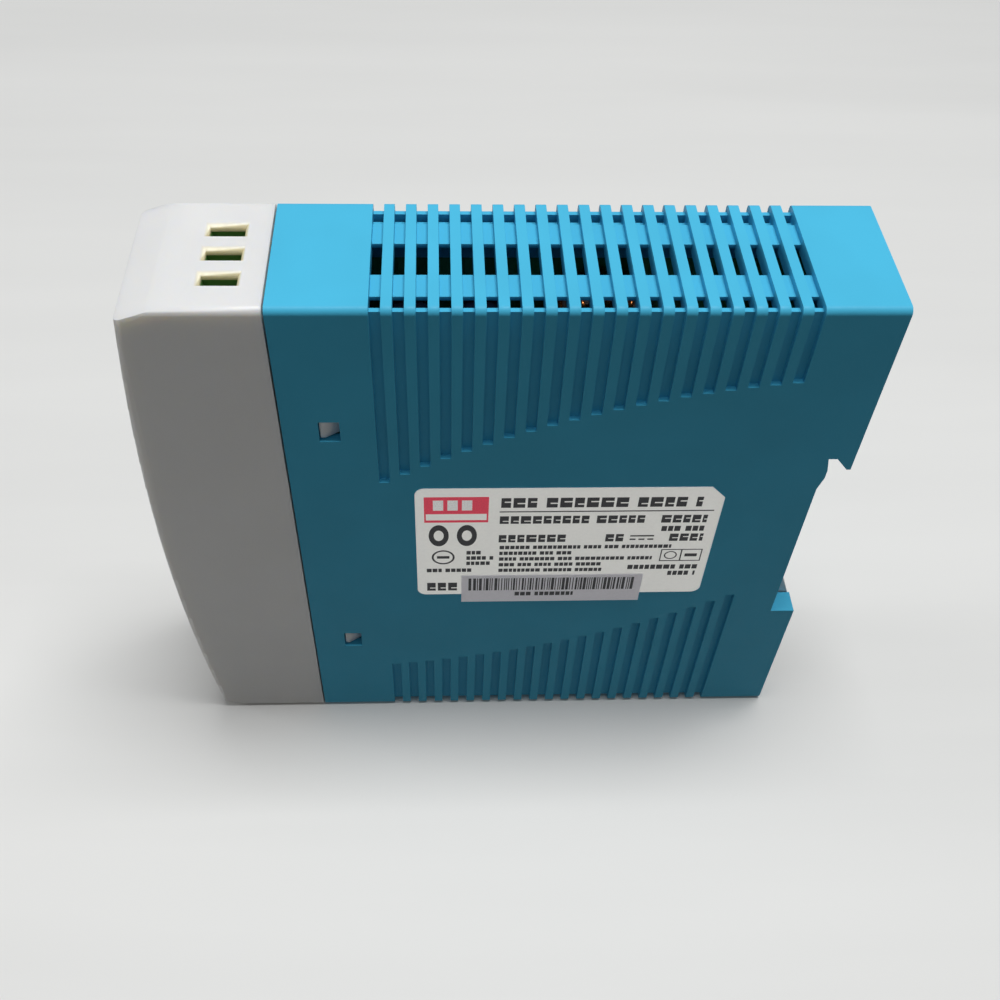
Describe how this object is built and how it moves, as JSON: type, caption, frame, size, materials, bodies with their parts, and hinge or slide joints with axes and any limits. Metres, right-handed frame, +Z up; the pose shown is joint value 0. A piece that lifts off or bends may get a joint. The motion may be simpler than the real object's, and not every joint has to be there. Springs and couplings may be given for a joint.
{
  "type": "din rail power supply",
  "caption": "Slim box-shaped power supply that clips onto a mounting rail, with vented case, sprung rear latch and screw terminals behind a clipped-in front cover.",
  "frame": {"origin": "middle of the underside, on the surface it stands on", "axes": "+X across the width towards the labelled side, +Y from the front cover to the rail side, +Z up to the vented top"},
  "size_m": [0.0227, 0.1, 0.09],
  "materials": {
    "blue_case": "fine matt moulded texture",
    "grey_cover": "fine matt moulded texture",
    "label_film": "matt printed film",
    "latch_plastic": "smooth moulded",
    "spring_steel": "drawn wire",
    "clear_plastic": "clear, slightly frosted",
    "white_plastic": "satin",
    "blue_epoxy": "dipped epoxy",
    "board_green": "solder mask",
    "green_terminal": "satin",
    "tinned_metal": "tin plated",
    "zinc_steel": "zinc plated",
    "clamp_brass": "nickel-plated brass",
    "black_plastic": "moulding compound",
    "ceramic_white": "unglazed",
    "ferrite": "sintered",
    "copper_wire": "enamelled",
    "yellow_plastic": "polyester film",
    "can_sleeve": "shrunk sleeve",
    "bare_aluminium": "rolled"
  },
  "bodies": {
    "supply": {"case": "blue_case", "terminal_cover": "grey_cover", "rating_label": "label_film", "serial_label": "label_film", "latch_spring": "spring_steel", "light_pipe": "clear_plastic", "status_lamp": "clear_plastic", "trimmer_body": "blue_epoxy", "front_board": "board_green", "output_terminal_block": "green_terminal", "input_terminal_block": "green_terminal", "output_contacts": "tinned_metal", "input_contacts": "tinned_metal", "main_board": "board_green", "insulating_sheet": "white_plastic", "board_link": "black_plastic", "fuse": "ceramic_white", "inrush_limiter": "black_plastic", "surge_suppressor": "blue_epoxy", "line_choke_core": "ferrite", "line_choke_windings": "copper_wire", "filter_capacitor": "yellow_plastic", "bridge_rectifier": "black_plastic", "bulk_capacitor": "can_sleeve", "power_transistor": "black_plastic", "primary_heat_sink": "bare_aluminium", "transformer_core": "ferrite", "transformer_bobbin": "white_plastic", "transformer_winding": "yellow_plastic", "safety_capacitor": "blue_epoxy", "optocoupler": "white_plastic", "control_chip": "black_plastic", "chip_parts": "ceramic_white", "output_rectifier": "black_plastic", "secondary_heat_sink": "bare_aluminium", "heat_sink_screws": "zinc_steel", "output_choke_core": "ferrite", "output_choke_winding": "copper_wire", "output_capacitors": "can_sleeve"},
    "latch": {"rail_latch": "latch_plastic"},
    "adjuster": {"adjuster_spindle": "white_plastic", "trimmer_rotor": "white_plastic"},
    "output_screw_1": {"output_screw_1": "zinc_steel"},
    "output_clamp_1": {"output_clamp_1": "clamp_brass"},
    "output_screw_2": {"output_screw_2": "zinc_steel"},
    "output_clamp_2": {"output_clamp_2": "clamp_brass"},
    "output_screw_3": {"output_screw_3": "zinc_steel"},
    "output_clamp_3": {"output_clamp_3": "clamp_brass"},
    "input_screw_1": {"input_screw_1": "zinc_steel"},
    "input_clamp_1": {"input_clamp_1": "clamp_brass"},
    "input_screw_2": {"input_screw_2": "zinc_steel"},
    "input_clamp_2": {"input_clamp_2": "clamp_brass"},
    "input_screw_3": {"input_screw_3": "zinc_steel"},
    "input_clamp_3": {"input_clamp_3": "clamp_brass"}
  },
  "joints": [
    {"name": "latch_slide", "type": "slide", "parent": "supply", "child": "latch", "axis": [0, 0, -1], "range_m": [0, 0.0035], "stiffness_N_per_m": 2300, "springref_m": -0.001, "deforming": ["latch_spring"]},
    {"name": "adjuster_turn", "type": "hinge", "parent": "supply", "child": "adjuster", "pos_m": [0, -0.045, 0.058], "axis": [0, 1, 0], "range_deg": [-135, 135]},
    {"name": "output_screw_1_turn", "type": "hinge", "parent": "supply", "child": "output_screw_1", "pos_m": [0.005, -0.042, 0.0826], "axis": [0, 1, 0], "range_deg": [0, 1760.2]},
    {"name": "output_clamp_1_slide", "type": "slide", "parent": "supply", "child": "output_clamp_1", "axis": [0, -1, 0], "range_m": [0, 0.0022]},
    {"name": "output_screw_2_turn", "type": "hinge", "parent": "supply", "child": "output_screw_2", "pos_m": [0, -0.042, 0.0826], "axis": [0, 1, 0], "range_deg": [0, 1760.2]},
    {"name": "output_clamp_2_slide", "type": "slide", "parent": "supply", "child": "output_clamp_2", "axis": [0, -1, 0], "range_m": [0, 0.0022]},
    {"name": "output_screw_3_turn", "type": "hinge", "parent": "supply", "child": "output_screw_3", "pos_m": [-0.005, -0.042, 0.0826], "axis": [0, 1, 0], "range_deg": [0, 1760.2]},
    {"name": "output_clamp_3_slide", "type": "slide", "parent": "supply", "child": "output_clamp_3", "axis": [0, -1, 0], "range_m": [0, 0.0022]},
    {"name": "input_screw_1_turn", "type": "hinge", "parent": "supply", "child": "input_screw_1", "pos_m": [0.005, -0.042, 0.0074], "axis": [0, 1, 0], "range_deg": [0, 1760.2]},
    {"name": "input_clamp_1_slide", "type": "slide", "parent": "supply", "child": "input_clamp_1", "axis": [0, -1, 0], "range_m": [0, 0.0022]},
    {"name": "input_screw_2_turn", "type": "hinge", "parent": "supply", "child": "input_screw_2", "pos_m": [0, -0.042, 0.0074], "axis": [0, 1, 0], "range_deg": [0, 1760.2]},
    {"name": "input_clamp_2_slide", "type": "slide", "parent": "supply", "child": "input_clamp_2", "axis": [0, -1, 0], "range_m": [0, 0.0022]},
    {"name": "input_screw_3_turn", "type": "hinge", "parent": "supply", "child": "input_screw_3", "pos_m": [-0.005, -0.042, 0.0074], "axis": [0, 1, 0], "range_deg": [0, 1760.2]},
    {"name": "input_clamp_3_slide", "type": "slide", "parent": "supply", "child": "input_clamp_3", "axis": [0, -1, 0], "range_m": [0, 0.0022]}
  ],
  "couplings": [
    {"joint": "output_screw_1_turn", "follows": "output_clamp_1_slide", "rad_per_m": 13963},
    {"joint": "output_screw_2_turn", "follows": "output_clamp_2_slide", "rad_per_m": 13963},
    {"joint": "output_screw_3_turn", "follows": "output_clamp_3_slide", "rad_per_m": 13963},
    {"joint": "input_screw_1_turn", "follows": "input_clamp_1_slide", "rad_per_m": 13963},
    {"joint": "input_screw_2_turn", "follows": "input_clamp_2_slide", "rad_per_m": 13963},
    {"joint": "input_screw_3_turn", "follows": "input_clamp_3_slide", "rad_per_m": 13963}
  ]
}
